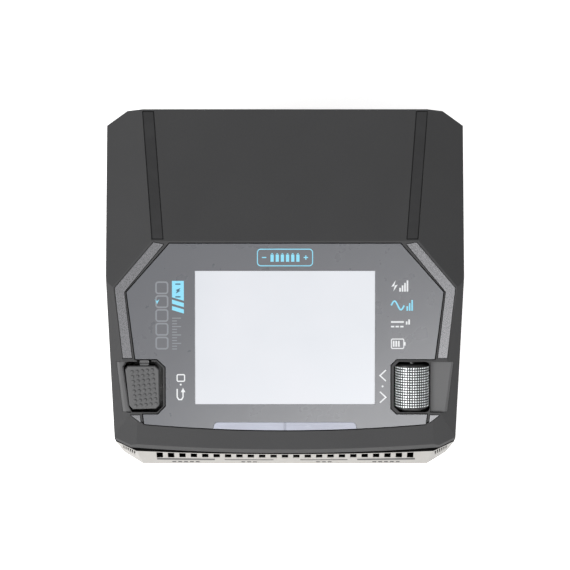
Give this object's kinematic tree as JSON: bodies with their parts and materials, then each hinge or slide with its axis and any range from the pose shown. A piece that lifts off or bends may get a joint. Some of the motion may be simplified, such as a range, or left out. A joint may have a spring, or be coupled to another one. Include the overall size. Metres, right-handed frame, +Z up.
{
  "type": "balance battery charger",
  "caption": "Desktop balance battery charger: faceted dark casing with a sloping display, knurled roller and exit button over a light vented base with charge ports under a visor.",
  "frame": {"origin": "on the table, under the middle of the casing", "axes": "+X to the right, +Y to the rear panel, +Z up"},
  "size_m": [0.1394, 0.1306, 0.066],
  "materials": {
    "dark_plastic": "fine-grained dark moulded plastic",
    "grey_plastic": "light warm-grey moulded plastic",
    "lens_grey": "grey printed display lens",
    "silver_trim": "silver-painted plastic",
    "plate_grey": "mid-grey satin plastic",
    "strip_rubber": "dark soft strip",
    "foot_rubber": "black rubber",
    "light_guide": "milky translucent plastic",
    "display": "lit display face",
    "frame_metal": "thin pressed steel",
    "steel": "plain steel",
    "nickel": "bright nickel",
    "black_plastic": "black glass-filled plastic",
    "board_green": "fibreglass board with green mask",
    "ribbon": "flat flexible cable",
    "ferrite": "pressed ferrite",
    "copper": "copper",
    "gold": "gold-plated brass",
    "aluminium": "extruded aluminium",
    "can_sleeve": "sleeved aluminium can",
    "winding_tape": "yellow winding tape",
    "connector_yellow": "yellow nylon",
    "connector_cream": "cream nylon",
    "label_foil": "blank foil plate"
  },
  "bodies": {
    "casing": {"ac_inlet": "black_plastic", "ac_inlet_pins": "nickel", "balance_pins": "gold", "balance_ports": "connector_cream", "board_screws": "steel", "board_standoffs": "gold", "bottom_shell": "grey_plastic", "bulk_capacitors": "can_sleeve", "buzzer": "black_plastic", "case_screws": "steel", "charger_heatsink": "aluminium", "control_board": "board_green", "control_screws": "steel", "display_lens": "lens_grey", "display_ribbon": "ribbon", "exit_hinge_pin": "steel", "fan_frame": "black_plastic", "fan_screws": "steel", "filter_capacitors": "can_sleeve", "guide_posts": "steel", "lcd_frame": "frame_metal", "lcd_screen": "display", "light_guides": "light_guide", "main_board": "board_green", "output_inductors": "ferrite", "power_busbars": "copper", "power_transistors": "black_plastic", "rating_plate": "label_foil", "rear_panel": "black_plastic", "ribbon_sockets": "connector_cream", "roller_board": "board_green", "roof_strips": "strip_rubber", "rubber_feet": "foot_rubber", "status_leds": "connector_cream", "supply_board": "board_green", "supply_heatsink": "aluminium", "switch_bodies": "frame_metal", "thumb_plate_left": "plate_grey", "thumb_plate_right": "plate_grey", "top_shell": "dark_plastic", "transformer_core": "ferrite", "transformer_winding": "winding_tape", "trim_strips": "silver_trim", "trim_tips": "silver_trim", "usb_a_port": "steel", "usb_c_port": "steel", "usb_tongues": "black_plastic", "xt60_contacts": "gold", "xt60_input": "connector_yellow", "xt60_outputs": "connector_yellow"},
    "exit_button": {"exit_button": "plate_grey"},
    "exit_plunger": {"exit_switch_plunger": "black_plastic"},
    "carriage": {"roller_carriage": "black_plastic", "rotation_sensor": "black_plastic"},
    "roller": {"roller": "nickel", "roller_axle": "steel", "roller_magnet": "ferrite"},
    "roller_plunger": {"roller_switch_plunger": "black_plastic"},
    "fan_rotor": {"fan_rotor": "black_plastic", "fan_shaft": "steel"}
  },
  "joints": [
    {"name": "exit_button_press", "type": "hinge", "parent": "casing", "child": "exit_button", "pos_m": [-0.0548, -0.03181, 0.04502], "axis": [1, 0, 0], "range_deg": [0, 3.5], "stiffness_Nm_per_rad": 0.46, "springref_deg": -0.57},
    {"name": "exit_plunger_press", "type": "slide", "parent": "casing", "child": "exit_plunger", "axis": [0, 0.3681, -0.9298], "range_m": [0, 0.00045]},
    {"name": "roller_press", "type": "slide", "parent": "casing", "child": "carriage", "axis": [0, 0.3681, -0.9298], "range_m": [0, 0.0005], "stiffness_N_per_m": 4000, "springref_m": -0.0002},
    {"name": "roller_plunger_press", "type": "slide", "parent": "casing", "child": "roller_plunger", "axis": [0, 0.3681, -0.9298], "range_m": [0, 0.0005]},
    {"name": "roller_spin", "type": "hinge", "parent": "carriage", "child": "roller", "pos_m": [0.0495, -0.04037, 0.04109], "axis": [0, 0.9298, 0.3681], "continuous": true},
    {"name": "fan_spin", "type": "hinge", "parent": "casing", "child": "fan_rotor", "pos_m": [-0.028, 0.054, 0.0346], "axis": [0, 1, 0], "continuous": true}
  ],
  "couplings": [
    {"joint": "exit_plunger_press", "follows": "exit_button_press", "m_per_rad": 0.0071},
    {"joint": "roller_plunger_press", "follows": "roller_press", "ratio": 1}
  ]
}
